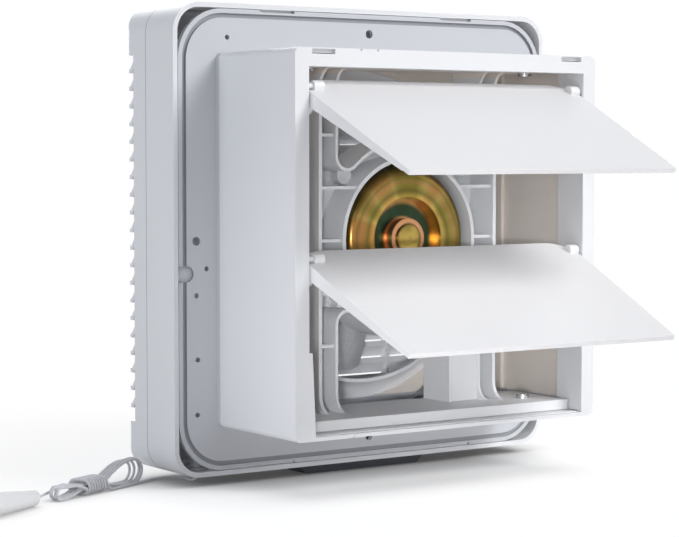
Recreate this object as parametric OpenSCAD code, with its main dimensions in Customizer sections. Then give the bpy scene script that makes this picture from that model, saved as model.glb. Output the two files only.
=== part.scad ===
// Window exhaust fan with a pull cord, a slatted room-side cover, a square duct that passes
// through the window and a linked two-flap shutter at its outlet.
// +Z is up, +Y points outdoors along the fan axis, and the origin is on the fan axis at the
// rear face of the back plate, which is the face that seats against the window board.

/* [Housing] */
// Width and height of the room-side housing
housing_size = 240; // [236:1:250]
// Corner radius of the housing
housing_corner = 15; // [10:1:20]
// Depth of the shell behind the front cover
shell_depth = 28; // [27:1:32]
// Depth of the slatted front cover
cover_depth = 20; // [17:1:24]
// Wall of the housing mouldings
housing_wall = 2.5; // [2:0.1:3]
// Rounding of the front cover's edge
cover_edge = 4; // [2.5:0.5:6]

/* [Grille] */
// Number of slats across the cover
slat_count = 20; // [12:1:22]
// Distance from one slat to the next
slat_pitch = 9.1; // [8.5:0.1:9.5]
// Thickness of a slat
slat_t = 2.2; // [1.8:0.1:2.8]
// Depth of a slat along the air path
slat_depth = 10; // [9:0.5:10.5]
// How far the back of a slat rises, to keep sight and drips out
slat_rise = 6.6; // [5:0.2:7]
// How far the slots run back along the cover's sides
slot_wrap = 7.5; // [5:0.5:8]

/* [Back plate and duct] */
// Outer width and height of the duct
duct_size = 190; // [188:1:194]
// Reach of the outlet behind the back plate
duct_reach = 72; // [70:1:80]
// Wall of the duct
duct_wall = 2.5; // [2:0.1:3]
// Thickness of the back plate
plate_t = 2.5; // [2:0.1:3]
// Corner radius of the back plate, larger than the shell's
plate_corner = 26; // [22:1:32]
// Gap between the back plate and the shell round it
plate_gap = 0.3; // [0.2:0.05:0.5]
// Radius of a wall-screw hole
wall_screw_r = 2.25; // [1.8:0.05:2.6]
// Radius of the small drain and fixing holes
small_hole_r = 1.3; // [1:0.1:1.6]

/* [Air ring] */
// Bore radius of the air ring that the impeller turns in
throat_r = 76.5; // [75.5:0.5:78]
// Wall of the air ring
ring_wall = 1.8; // [1.5:0.1:2.2]
// Depth of the plate that carries the air ring, behind the back plate's rear face
orifice_depth = 15.2; // [14:0.2:16]

/* [Impeller] */
// Number of blades
blade_count = 5; // [3:1:7]
// Gap between the blade tips and the air ring
tip_gap = 3.5; // [2.5:0.5:6]
// Radius of the hub
hub_r = 27; // [24:0.5:30]
// Radius of the motor shaft
shaft_r = 4; // [3:0.5:4.5]

/* [Motor] */
// Outer radius of the motor shells
motor_r = 37.5; // [36:0.5:38]
// Inner radius of the bracket ring round the motor
bracket_ring_r = 40.5; // [39.5:0.5:42]
// Front face of the motor along the fan axis
motor_front = 0; // [-1:0.5:1]
// Rear land of the motor along the fan axis
motor_rear = 34.5; // [33:0.5:36]

/* [Shutter] */
// Gap between a flap's end and the outlet's post
flap_end_gap = 0.6; // [0.5:0.1:1.5]
// How much narrower a flap is at each side of its free edge
flap_taper = 3.9; // [1:0.1:5]
// Overlap of a flap past the pivot below it
flap_lap = 5.2; // [3:0.1:5.2]
// Thickness of a flap
flap_t = 2.4; // [1.8:0.1:2.4]
// Depth of a flap's side webs at the pivot
web_depth = 4.8; // [2:0.2:4.8]
// Angle of the flaps from vertical as drawn
flap_open = 63.7; // [50:0.1:65]
// Radius of a hinge pin
pin_r = 1.5; // [1.2:0.1:1.7]
// Radius of the cranks that the link bar joins
crank_r = 12; // [11:0.5:13]

/* [Pull cord] */
// Diameter of the cord
cord_d = 1.5; // [1.3:0.1:1.5]
// Length of the pull knob
knob_length = 40; // [34:1:44]
// Radius of the knob at its wide end
knob_r = 6.6; // [5.5:0.1:7]
// Radius of the knob at its narrow end
knob_neck_r = 4; // [3:0.1:4.5]

/* [Oil cup] */
// Width of the oil cup
cup_width = 84; // [74:1:90]
// Distance of the oil cup from the back plate's rear face
cup_set_back = 6; // [5:0.5:9]
// How far the cup hangs below the housing
cup_drop = 5; // [5:0.5:7]

/* [Hidden] */
$fn = 64;
eps = 0.01;

// Running clearance of a pin or shaft in its bore, as a radius
running = 0.05;
// Clearance between plastic parts that slide or swing past each other
slide_gap = 0.3;

half = housing_size / 2;
duct_half = duct_size / 2;
duct_in = duct_half - duct_wall;
plate_half = half - housing_wall - plate_gap;
cover_front = -shell_depth - cover_depth;
// Middle of the space between the duct and the shell's wall
bay_mid = (duct_in + half - housing_wall) / 2;

// ---------- helpers ----------

// Rounded rectangle from true arcs
module rounded(w, h, r) {
    square([w - 2 * r, h], center = true);
    square([w, h - 2 * r], center = true);
    for (x = [-1, 1], y = [-1, 1])
        translate([x * (w / 2 - r), y * (h / 2 - r)]) circle(r);
}

// Extrudes an XZ outline from y0 to y1
module slab(y0, y1) {
    translate([0, y1, 0]) rotate([90, 0, 0]) linear_extrude(y1 - y0) children();
}

// Extrudes an outline in (y, z) from x0 to x1
module across(x0, x1) {
    translate([x0, 0, 0]) rotate([90, 0, 90]) linear_extrude(x1 - x0) children();
}

// Turns a revolved profile drawn in (radius, y) so that its axis is the fan axis
module revolve_y() {
    rotate([-90, 0, 0]) rotate_extrude($fn = 128) children();
}

// Cylinder along the fan axis from y0 to y1
module rod_y(x, z, r, y0, y1) {
    translate([x, y0, z]) rotate([-90, 0, 0]) cylinder(r = r, h = y1 - y0);
}

// Cylinder along X
module rod_x(x0, x1, y, z, r) {
    translate([x0, y, z]) rotate([0, 90, 0]) cylinder(r = r, h = x1 - x0);
}

// Box from one corner to the other
module block(a, b) {
    translate(a) cube(b - a);
}

// ---------- housing ----------

slat_span = (slat_count - 1) * slat_pitch;
slot_margin = 6.9;
cover_lip = 3;
cover_lip_wall = 1.5;
tie_w = 2;

// Solid outer form of the front cover, rounded towards the room
module cover_form(inset) {
    s = housing_size - 2 * inset;
    e = max(cover_edge - inset, 0.6);
    y_front = cover_front + inset;
    intersection() {
        slab(y_front, -shell_depth) rounded(s, s, housing_corner - inset);
        linear_extrude(s, center = true) cover_profile(s / 2, y_front, e);
        rotate([0, 90, 0]) linear_extrude(s, center = true) cover_profile(s / 2, y_front, e);
    }
}

// Plan outline of the cover: straight sides with round front corners
module cover_profile(w, y_front, e) {
    translate([-w, y_front + e]) square([2 * w, -shell_depth - y_front - e + eps]);
    translate([-w + e, y_front]) square([2 * (w - e), e + eps]);
    for (x = [-1, 1]) translate([x * (w - e), y_front + e]) circle(e, $fn = 32);
}

// One slat across the whole cover: level at the front, and rising steeply at its back
module slat(z) {
    y0 = cover_front;
    y1 = y0 + slat_depth;
    bend = y0 + slat_depth / 2;
    t = slat_t / 2;
    across(-half, half) polygon([[y0, z - t], [bend + t / 2, z - t], [y1, z - t + slat_rise - 1],
        [y1, z + t + slat_rise], [bend - t / 2, z + t], [y0, z + t]]);
}

module front_cover() color("whitesmoke") {
    z_top = slat_span / 2 + slat_t / 2 + slot_margin;
    difference() {
        cover_form(0);
        cover_form(housing_wall);
        translate([0, -shell_depth, 0]) slab(-eps, 1)
            square(housing_size - 2 * housing_wall, center = true);
        block([-half - 1, cover_front - 1, -z_top], [half + 1, cover_front + slot_wrap, z_top]);
    }
    intersection() {
        cover_form(0);
        union() {
            for (i = [0 : slat_count - 1]) slat(i * slat_pitch - slat_span / 2);
            // upright ribs that tie the slats together
            for (x = [-2, -1, 0, 1, 2] * half / 3)
                block([x - tie_w / 2, cover_front + slat_depth / 2, -z_top],
                    [x + tie_w / 2, cover_front + slat_depth + 0.5, z_top]);
            // strips inside the side walls, behind the slots
            for (s = [-1, 1]) {
                x = s * (half - housing_wall);
                block([x - tie_w / 2, cover_front + slot_wrap - eps, -z_top - 1],
                    [x + tie_w / 2, cover_front + slat_depth + 2, z_top + 1]);
            }
        }
    }
    // locating lip that enters the shell
    difference() {
        inner = half - housing_wall - slide_gap;
        union() {
            slab(-shell_depth - 2, -shell_depth + cover_lip)
                rounded(2 * inner, 2 * inner, housing_corner - housing_wall - slide_gap);
            slab(-shell_depth - 2, -shell_depth)
                rounded(2 * half - 2, 2 * half - 2, housing_corner - 1);
        }
        slab(-shell_depth - 3, -shell_depth + cover_lip + 1)
            rounded(2 * (inner - cover_lip_wall), 2 * (inner - cover_lip_wall),
                housing_corner - housing_wall - slide_gap - cover_lip_wall);
    }
}

ledge_w = 5;
ledge_t = 2;
ledge_half = half - 35;
clip_x = 58;
clip_w = 21;

// Eyelet of the pull cord in the floor of the shell
eyelet_x = duct_in + 7.5;
eyelet_y = -12;
eyelet_hole_r = 4.2;

cup_y1 = -cup_set_back;
cup_y0 = -shell_depth + cover_lip + 1;
cup_gap = 0.3;

module housing_shell() color("white") {
    inner = housing_size - 2 * housing_wall;
    difference() {
        slab(-shell_depth, 0) rounded(housing_size, housing_size, housing_corner);
        slab(-shell_depth - 1, 1) rounded(inner, inner, housing_corner - housing_wall);
        // hole for the eyelet
        translate([eyelet_x, eyelet_y, -half - 1]) cylinder(r = eyelet_hole_r, h = housing_wall + 2);
        // mouth of the oil cup
        block([-cup_width / 2 - cup_gap, cup_y0 - cup_gap, -half - 1],
            [cup_width / 2 + cup_gap, cup_y1 + cup_gap, -half + housing_wall + 1]);
    }
    // ledges that the back plate seats on, open at the corners
    for (turn = [0 : 90 : 270]) rotate([0, turn, 0])
        block([-ledge_half, -plate_t - ledge_t, half - housing_wall - ledge_w],
            [ledge_half, -plate_t, half - housing_wall + eps]);
}

// ---------- back plate and duct ----------

edge_lip_w = 2.3;
groove_w = 2.3;
groove_depth = 1.4;
notch_z = -16.5;
notch_r = 4;
duct_corner = 3;
frame_face_t = 2.5;
// Box in front of the back plate that carries the air ring: it steps in from the duct
well_wall = 2;
well_half = duct_in;
orifice_t = 2;
bell_out_r = duct_in - 4.5;
bell_r = bell_out_r - throat_r;
orifice_gap = 0.25;
wall_screw_at = (duct_half + plate_half) / 2 + 0.9;

// Small holes seen round the duct, as [share of the way from the duct to the plate's edge, z]
side_holes = [[0.27, -14], [0.54, -27.5], [0.51, -60], [0.52, -88]];
top_hole_x = 88.4;
top_hole_share = 0.35;

function band_at(share) = duct_half + share * (plate_half - duct_half);

module rear_body() color("white") difference() {
    union() {
        difference() {
            slab(-plate_t, 0) rounded(2 * plate_half, 2 * plate_half, plate_corner);
            // groove inside the raised edge
            difference() {
                g = plate_half - edge_lip_w;
                c = plate_corner - edge_lip_w;
                slab(-groove_depth, 1) rounded(2 * g, 2 * g, c);
                slab(-groove_depth - 1, 2) rounded(2 * (g - groove_w), 2 * (g - groove_w), c - groove_w);
            }
        }
        slab(-eps, duct_reach - frame_face_t) rounded(duct_size, duct_size, duct_corner);
        slab(-orifice_depth, -eps) rounded(2 * well_half, 2 * well_half, duct_corner);
    }
    slab(0, duct_reach + 1) rounded(2 * duct_in, 2 * duct_in, duct_corner - 1);
    slab(-orifice_depth + orifice_t, 1)
        rounded(2 * (well_half - well_wall), 2 * (well_half - well_wall), duct_corner - 1);
    rod_y(0, 0, bell_out_r + orifice_gap, -orifice_depth - 1, 1, $fn = 128);
    // cable notch in the left edge
    rod_y(plate_half - edge_lip_w - groove_w, notch_z, notch_r, -plate_t - 1, 1);
    block([plate_half - edge_lip_w - groove_w, -plate_t - 1, notch_z - notch_r],
        [plate_half + 1, 1, notch_z + notch_r]);
    for (a = [0 : 90 : 270])
        rod_y(wall_screw_at * cos(a), wall_screw_at * sin(a), wall_screw_r, -plate_t - 1, 1);
    for (h = side_holes) rod_y(band_at(h[0]), h[1], small_hole_r, -plate_t - 1, 1);
    rod_y(top_hole_x, band_at(top_hole_share), small_hole_r, -plate_t - 1, 1);
    for (a = ring_screw_angles)
        rod_y(ring_screw_at * cos(a), ring_screw_at * sin(a), ring_screw_r + running,
            -orifice_depth - 1, -orifice_depth + orifice_t - 0.4);
    // hole for the motor lead in the floor of the box
    translate([lead_hole[0], lead_hole[1], -well_half - 1]) cylinder(r = lead_hole_r, h = well_wall + 2);
    // edge clips of the shell at the top and bottom
    for (x = [-clip_x, clip_x], s = [-1, 1])
        block([x - clip_w / 2, -plate_t - 1, s * plate_half - 1.2],
            [x + clip_w / 2, 1, s * plate_half + 1.2]);
}

ring_y1 = -orifice_depth - ring_wall + bell_r;
ring_rim = 2;
ring_flange_w = 2.2;
ring_ear_r = 5;
ring_screw_at = bell_out_r + ring_ear_r + 1;
ring_screw_r = 1.5;
ring_screw_angles = [45, 135, 225, 315];

// Bell mouth that narrows from the room side to the throat round the blade tips
module air_ring() color("white") difference() {
    union() {
        revolve_y() {
            translate([bell_out_r, ring_y1]) difference() {
                circle(bell_r, $fn = 96);
                circle(bell_r - ring_wall, $fn = 96);
                translate([0, -2 * bell_r]) square(4 * bell_r);
                translate([-2 * bell_r, 0]) square(4 * bell_r);
            }
            translate([throat_r, ring_y1]) square([ring_wall, ring_rim]);
            translate([bell_out_r, -orifice_depth - ring_wall]) square([ring_flange_w, ring_wall]);
        }
        for (a = ring_screw_angles) rotate([0, -a, 0]) slab(-orifice_depth - ring_wall, -orifice_depth) {
            translate([ring_screw_at, 0]) circle(ring_ear_r, $fn = 48);
            translate([ring_screw_at - ring_ear_r, -ring_ear_r]) square([ring_ear_r, 2 * ring_ear_r]);
        }
    }
    for (a = ring_screw_angles)
        rod_y(ring_screw_at * cos(a), ring_screw_at * sin(a), ring_screw_r + 2 * running,
            -orifice_depth - ring_wall - 1, 0);
}

module ring_screws() color("silver") for (a = ring_screw_angles) {
    x = ring_screw_at * cos(a);
    z = ring_screw_at * sin(a);
    y = -orifice_depth - ring_wall;
    rod_y(x, z, ring_screw_r, y - eps, -orifice_depth + orifice_t - 0.6, $fn = 24);
    difference() {
        rod_y(x, z, 2.8, y - 1.8, y, $fn = 24);
        block([x - 3, y - 3, z - 0.4], [x + 3, y - 1.1, z + 0.4]);
    }
}

// ---------- outlet frame ----------

post_in = duct_half - 8;
frame_top_in = duct_half - 9;
frame_sill = duct_half - 2;
skirt_t = 2.2;
skirt_y0 = duct_reach - 20;
skirt_top_y0 = duct_reach - 9;
pivot_y = duct_reach - 4.5;
upper_pivot_z = frame_top_in - 9.5;
flap_pitch = duct_in - 9.2;
lower_pivot_z = upper_pivot_z - flap_pitch;
pad_gap = 0.5;
pad_top_z = -duct_half + 43;
socket_r = 3.6;
pin_end = post_in + skirt_t + 1.3;
socket_end = post_in + skirt_t + 2;
snap_x = duct_half - 16.5;
snap_w = 13.6;
nick_r = 1.2;

// Thicker foot of the left post, clear of the closed flap's tapering edge
module post_pad(y0, y1, z0) {
    x0 = flap_edge(z0 - lower_pivot_z) + pad_gap;
    x1 = flap_edge(pad_top_z - lower_pivot_z) + pad_gap;
    slab(y0, y1) polygon([[x0, z0], [post_in + eps, z0], [post_in + eps, pad_top_z], [x1, pad_top_z]]);
}

module outlet_frame() color("white") difference() {
    y1 = duct_reach;
    y0 = duct_reach - frame_face_t;
    union() {
        difference() {
            slab(y0, y1) rounded(duct_size, duct_size, duct_corner);
            block([-post_in, y0 - 1, -frame_sill], [post_in, y1 + 1, frame_top_in]);
        }
        for (s = [-1, 1]) {
            side = s < 0 ? -post_in - skirt_t : post_in;
            block([side, skirt_y0, -duct_in + slide_gap], [side + skirt_t, y0 + eps, duct_in - slide_gap]);
            for (z = [upper_pivot_z, lower_pivot_z])
                rod_x(s < 0 ? -socket_end : post_in, s < 0 ? -post_in : socket_end, pivot_y, z, socket_r);
        }
        block([-post_in, skirt_top_y0, frame_top_in], [post_in, y0 + eps, frame_top_in + skirt_t]);
        post_pad(skirt_top_y0, y1, -duct_in + slide_gap);
        post_pad(y0, y1, -frame_sill - eps);
    }
    for (s = [-1, 1], z = [upper_pivot_z, lower_pivot_z])
        rod_x(s < 0 ? -pin_end - 0.2 : post_in - 1, s < 0 ? -post_in + 1 : pin_end + 0.2, pivot_y, z,
            pin_r + running);
    // snap slots in the top rail and small nicks in both rails
    for (s = [-1, 1])
        block([s * snap_x - snap_w / 2, y0 - 1, duct_half - 3],
            [s * snap_x + snap_w / 2, y1 + 1, duct_half - 0.6]);
    for (x = [47, 57])
        block([x - nick_r, y1 - 1, duct_half - 1], [x + nick_r, y1 + 1, duct_half + 1]);
    for (x = [52, 61.5])
        block([x - nick_r, y1 - 1, -duct_half - 1], [x + nick_r, y1 + 1, -duct_half + 1]);
}

// ---------- shutter ----------

flap_back = 9;
flap_set_back = 3;
flap_back_corner = 15;
flap_half = post_in - flap_end_gap;
flap_length = flap_pitch + flap_lap;
flap_web_t = 1.6;
flap_web_end = 0.4;

// Half width of a flap at height z from its pivot
function flap_edge(z) = let (z0 = flap_back - flap_back_corner)
    flap_half - flap_taper * (z0 - z) / (z0 + flap_length);

// The link bar runs in a notch at the left end of each flap
notch_half = flap_half - 3.9;
flap_notch_z = -3.5;
ear_r = 2.8;
crank_t = 2.2;
link_pin_r = 1.2;
link_x = notch_half + 0.7;
link_t = 2;
link_w = 6;

// A flap about its pivot, hanging straight down: the panel lies inboard of the pivot
module flap_closed() {
    back = -flap_set_back;
    difference() {
        union() {
            slab(back, back + flap_t) flap_outline(0);
            // side webs on the inner face, tapering to the free edge
            intersection() {
                slab(back - web_depth - 1, back) difference() {
                    flap_outline(0);
                    flap_outline(flap_web_t);
                }
                across(-flap_half - 1, flap_half + 1) polygon([[back - web_depth, flap_notch_z],
                    [1, flap_notch_z], [1, -flap_pitch], [back - flap_web_end, -flap_pitch]]);
            }
        }
        block([notch_half, -20, flap_notch_z], [flap_half + 1, 20, flap_back + 1]);
    }
    // ears round the pins
    rod_x(-flap_half, -flap_half + 6, 0, 0, ear_r, $fn = 48);
    rod_x(notch_half - 6, notch_half, 0, 0, ear_r, $fn = 48);
    rod_x(-pin_end, -flap_half + 1, 0, 0, pin_r, $fn = 48);
    rod_x(notch_half - 1, pin_end, 0, 0, pin_r, $fn = 48);
    // crank arm and its pin
    across(notch_half - crank_t, notch_half) {
        translate([-crank_r, 0]) circle(ear_r, $fn = 32);
        translate([-crank_r, -ear_r]) square([crank_r, 2 * ear_r]);
    }
    rod_x(notch_half - 1, link_x + link_t + 0.8, -crank_r, 0, link_pin_r, $fn = 32);
}

// Flap outline in (x, z), drawn in by inset: tapering sides and round back corners
module flap_outline(inset) {
    w = flap_half - inset;
    c = flap_back_corner - inset;
    z = flap_back - flap_back_corner;
    lean = atan(flap_taper / (z + flap_length));
    centre = w - c / cos(lean);
    arc_x = centre + c * cos(lean);
    arc_z = z - c * sin(lean);
    polygon([[-arc_x, arc_z], [-centre, z + c], [centre, z + c], [arc_x, arc_z],
        [w - flap_taper, -flap_length], [-w + flap_taper, -flap_length]]);
    for (x = [-centre, centre]) translate([x, z]) circle(c);
}

module flap_at(z) {
    translate([0, pivot_y, z]) rotate([flap_open, 0, 0]) flap_closed();
}

module upper_flap() color("white") flap_at(upper_pivot_z);

module lower_flap() color("white") flap_at(lower_pivot_z);

module link_bar() color("whitesmoke") {
    y = pivot_y - crank_r * cos(flap_open);
    dz = -crank_r * sin(flap_open);
    z0 = lower_pivot_z + dz;
    z1 = upper_pivot_z + dz;
    difference() {
        across(link_x, link_x + link_t) {
            translate([y - link_w / 2, z0]) square([link_w, z1 - z0]);
            for (z = [z0, z1]) translate([y, z]) circle(link_w / 2, $fn = 48);
        }
        rod_x(link_x - 1, link_x + link_t + 1, y, z1, link_pin_r + running, $fn = 48);
        rod_x(link_x - 1, link_x + link_t + 1, y, z0, link_pin_r + 2 * running, $fn = 48);
    }
}

// ---------- motor bracket ----------

web_y0 = 14;
web_t = 2.5;
web_y1 = web_y0 + web_t;
bar_half = 57.1;
bar_wall = 2;
rim_half = 46.9;
rim_wall = 1.6;
rim_y1 = 36.3;
shelf_t = 2;
shelf_z = duct_in - 5.5;
shelf_half = duct_in - 6.5;
shelf_y1 = skirt_y0 + 10;
shelf_lip = 2.5;
window_r = 52;
window_fillet = 6;
rib_pitch = 26.7;
rib_t = 1.6;
cover_x1 = -26;
bolt_r = 46.7;
bolt_angles = [45, 135, 225, 315];
bolt_boss_r = 4.5;
bolt_boss_y1 = 24;
flare_r = 9;
foot_screw_x = shelf_half - 16;
foot_screw_y = 44;
screw_r = 1.9;

// Window above (s = 1) or below (s = -1) the motor, from x0 to x1: it runs from a circle round
// the ring, with filleted corners, out to the shelf
module window(x0, x1, s, grow) {
    r = window_fillet + grow;
    round_r = window_r - grow;
    mirror([0, s < 0 ? 1 : 0]) difference() {
        translate([x0 - grow, 0]) square([x1 - x0 + 2 * grow, shelf_z]);
        circle(round_r, $fn = 128);
        for (e = [[x0 - grow, 1], [x1 + grow, -1]]) {
            cx = e[0] + e[1] * r;
            cz = sqrt(pow(round_r + r, 2) - cx * cx);
            k = round_r / (round_r + r);
            difference() {
                polygon([[cx, cz], [e[0] - e[1], cz], [e[0] - e[1], 0], [cx * k, 0], [cx * k, cz * k]]);
                translate([cx, cz]) circle(r, $fn = 48);
            }
        }
    }
}

module windows(grow) {
    window(-rim_half + rim_wall, rim_half - rim_wall, 1, grow);
    window(cover_x1, rim_half - rim_wall, -1, grow);
}

// Side of an upright wall in (y, z), from height z0 out to the upper shelf, where it flares
module wall_side(z0) {
    difference() {
        translate([web_y0, z0]) square([rim_y1 + flare_r - web_y0, shelf_z + shelf_t / 2 - z0]);
        translate([rim_y1, z0 - 1]) square([flare_r + 1, shelf_z - flare_r - z0 + 1]);
        translate([rim_y1 + flare_r, shelf_z - flare_r]) circle(flare_r);
    }
}

module motor_bracket() color("white") difference() {
    rim_corner_z = sqrt(pow(window_r + window_fillet, 2) - pow(rim_half - rim_wall - window_fillet, 2));
    union() {
        slab(web_y0, web_y1) square([2 * bar_half, 2 * shelf_z], center = true);
        rod_y(0, 0, bracket_ring_r + 2, web_y0, rim_y1, $fn = 128);
        slab(web_y0, rim_y1) difference() {
            windows(rim_wall);
            windows(0);
        }
        for (s = [-1, 1], turned = [0, 1]) mirror([0, 0, turned]) {
            // outer walls and the walls beside the windows
            x = s < 0 ? -bar_half : bar_half - bar_wall;
            across(x, x + bar_wall) wall_side(0);
            xr = s < 0 ? -rim_half : rim_half - rim_wall;
            across(xr, xr + rim_wall) wall_side(rim_corner_z);
        }
        for (s = [-1, 1]) {
            // cross ribs from the side walls to the ring and the window rims
            for (z = [-2, -1, 0, 1, 2] * rib_pitch) {
                inner = abs(z) > rim_corner_z ? rim_half - rim_wall / 2 : bracket_ring_r - 10;
                outer = bar_half - bar_wall / 2;
                block([s > 0 ? inner : -outer, web_y1 - 1, z - rib_t / 2],
                    [s > 0 ? outer : -inner, rim_y1 - 2, z + rib_t / 2]);
            }
            // shelves and their lips at the duct's floor and roof
            block([-shelf_half, web_y0, s > 0 ? shelf_z : -shelf_z - shelf_t],
                [shelf_half, shelf_y1, s > 0 ? shelf_z + shelf_t : -shelf_z]);
            block([-shelf_half, shelf_y1 - shelf_lip, s > 0 ? shelf_z : -duct_in + slide_gap],
                [shelf_half, shelf_y1, s > 0 ? duct_in - slide_gap : -shelf_z]);
            for (xf = [-foot_screw_x, foot_screw_x])
                translate([xf, foot_screw_y, s > 0 ? shelf_z + 1 : -duct_in])
                    cylinder(r = 4.5, h = duct_in - shelf_z - 1);
        }
        for (a = bolt_angles) rod_y(bolt_r * cos(a), bolt_r * sin(a), bolt_boss_r, web_y0, bolt_boss_y1);
    }
    rod_y(0, 0, bracket_ring_r, web_y0 - 1, rim_y1 + 1, $fn = 128);
    slab(web_y0 - 1, web_y1 + 1) windows(0);
    for (a = bolt_angles)
        rod_y(bolt_r * cos(a), bolt_r * sin(a), screw_r + running, web_y0 - 1, bolt_boss_y1 - 3, $fn = 32);
    for (s = [-1, 1], xf = [-foot_screw_x, foot_screw_x])
        translate([xf, foot_screw_y, s * (shelf_z + duct_in) / 2])
            cylinder(r = screw_r + running, h = duct_in - shelf_z + 2, center = true, $fn = 32);
}

module bracket_screws() color("silver") for (s = [-1, 1], xf = [-foot_screw_x, foot_screw_x])
    translate([xf, foot_screw_y, s * shelf_z]) rotate([s > 0 ? 180 : 0, 0, 0]) {
        difference() {
            cylinder(r = 3.6, h = 2.2, $fn = 32);
            translate([-0.5, -4, 1.3]) cube([1, 8, 2]);
            translate([-4, -0.5, 1.3]) cube([8, 1, 2]);
        }
        translate([0, 0, -(duct_in - shelf_z) + 0.2]) cylinder(r = screw_r, h = duct_in - shelf_z, $fn = 32);
    }

lead_cover_wall = 1.5;
lead_cover_gap = 0.2;
lead_cover_top = -48;

module lead_cover() color("white") {
    z0 = -shelf_z + lead_cover_gap;
    x0 = -rim_half + rim_wall + lead_cover_gap;
    x1 = cover_x1 - rim_wall - lead_cover_gap;
    w = lead_cover_wall;
    difference() {
        block([x0, web_y1, z0], [x1, rim_y1, lead_cover_top]);
        block([x0 + w, web_y1 - 1, z0 - 1], [x1 - w, rim_y1 - w, lead_cover_top - w]);
    }
}

// ---------- motor ----------

shell_wall = 1.2;
split_y = 14;
shoulder_r = 5;
land_in_r = 21.5;
boss_r = 10.5;
recess_y = 29;
cap_r = 7.4;

// Half section of the rear shell in (radius, y)
module rear_profile(t) {
    r = motor_r - t;
    y = motor_rear - t;
    square([r, motor_rear - shoulder_r - 0.5]);
    square([r - shoulder_r + t, y]);
    translate([r - shoulder_r + t, y - shoulder_r + t]) circle(shoulder_r - t, $fn = 48);
}

module motor_rear_shell() color("goldenrod") {
    revolve_y() difference() {
        intersection() {
            rear_profile(0);
            translate([0, split_y]) square([motor_r + 1, 40]);
        }
        rear_profile(shell_wall);
        // stepped recess round the bearing boss
        translate([boss_r, recess_y]) square([land_in_r - boss_r, 20]);
    }
    revolve_y() {
        translate([boss_r - 1, recess_y - shell_wall]) square([land_in_r - boss_r + 2, shell_wall + eps]);
        translate([land_in_r, recess_y - shell_wall]) square([shell_wall, motor_rear - recess_y]);
        // boss that seats the rear bearing
        translate([bearing_r, recess_y - shell_wall])
            square([boss_r - bearing_r, motor_rear - recess_y + shell_wall]);
        // domed dust cap
        intersection() {
            translate([0, motor_rear + 2.2 - 22]) circle(22, $fn = 96);
            translate([0, motor_rear - shell_wall]) square([cap_r, 5]);
        }
        // rolled flange at the split
        translate([motor_r - shell_wall, split_y]) square([2.5 + shell_wall, 1]);
    }
}

ear_t = 2;

module motor_front_shell() color("darkgoldenrod") {
    revolve_y() difference() {
        union() {
            translate([0, motor_front + 3]) square([motor_r, split_y - motor_front - 3]);
            translate([0, motor_front]) square([motor_r - 3, 4]);
            translate([motor_r - 3, motor_front + 3]) circle(3, $fn = 48);
            translate([0, motor_front - 2]) square([boss_r, 3]);
        }
        translate([0, motor_front + shell_wall]) square([motor_r - shell_wall, 40]);
        translate([-1, motor_front - 3]) square([bearing_r + 1, 6]);
    }
    // ears that the bracket's screws hold
    difference() {
        slab(split_y - ear_t, split_y) difference() {
            union() for (a = [45, 135]) rotate(a) {
                square([2 * bolt_r, 11], center = true);
                for (s = [-1, 1]) translate([s * bolt_r, 0]) circle(5.5, $fn = 48);
            }
            circle(motor_r - shell_wall / 2);
        }
        for (a = bolt_angles)
            rod_y(bolt_r * cos(a), bolt_r * sin(a), 2.2, split_y - ear_t - 1, split_y + 1, $fn = 32);
    }
}

module motor_screws() color("silver") for (a = bolt_angles) {
    x = bolt_r * cos(a);
    z = bolt_r * sin(a);
    y = split_y - ear_t;
    rod_y(x, z, screw_r, y - eps, bolt_boss_y1 - 3.5, $fn = 32);
    difference() {
        rod_y(x, z, 3.6, y - 2.2, y, $fn = 32);
        block([x - 4, y - 4, z - 0.5], [x + 4, y - 1.3, z + 0.5]);
        block([x - 0.5, y - 4, z - 4], [x + 0.5, y - 1.3, z + 4]);
    }
}

core_y0 = 6;
core_y1 = 22;
rotor_r = 17.5;
air_gap = 0.4;
core_r = motor_r - shell_wall;
slot_w = 5.2;

module stator_core() color("dimgray") slab(core_y0, core_y1) difference() {
    circle(core_r, $fn = 96);
    circle(rotor_r + air_gap, $fn = 96);
    for (a = [0 : 30 : 359]) rotate(a) {
        translate([rotor_r + 3, -slot_w / 2]) square([core_r - rotor_r - 8, slot_w]);
        translate([rotor_r, -0.8]) square([4, 1.6]);
    }
}

module stator_windings() color("chocolate") {
    for (s = [0, 1]) {
        y = s > 0 ? core_y1 + 0.3 : core_y0 - 3.8;
        revolve_y() translate([rotor_r + 4, y]) square([core_r - rotor_r - 10, 3.5]);
    }
    for (a = [0 : 30 : 359]) rotate([0, a, 0])
        block([rotor_r + 4, core_y0 - 2, -slot_w / 2], [core_r - 6, core_y1 + 2, slot_w / 2]);
}

module rotor() color("silver") slab(core_y0 + 0.5, core_y1 - 0.5) difference() {
    circle(rotor_r, $fn = 96);
    circle(shaft_r, $fn = 48);
    for (a = [0 : 20 : 359]) rotate(a) translate([rotor_r - 3, 0]) circle(1, $fn = 16);
}

shaft_front = -32.5;
shaft_rear = 32.6;
bearing_r = 7;
bearing_l = 7;

module motor_shaft() color("gainsboro") rod_y(0, 0, shaft_r, shaft_front, shaft_rear, $fn = 64);

module shaft_bearings() color("peru") for (y = [motor_front - 1.5, shaft_rear - bearing_l + 0.3])
    difference() {
        rod_y(0, 0, bearing_r, y, y + bearing_l, $fn = 64);
        rod_y(0, 0, shaft_r + running, y - 1, y + bearing_l + 1, $fn = 64);
    }

// ---------- impeller ----------

hub_front = -28;
hub_rear = -5;
hub_wall = 2;
hub_boss_r = 8;
blade_t = 1.8;
blade_r = throat_r - tip_gap;
blade_turn = 22;
blade_stations = 7;
chord_points = 8;

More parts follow.
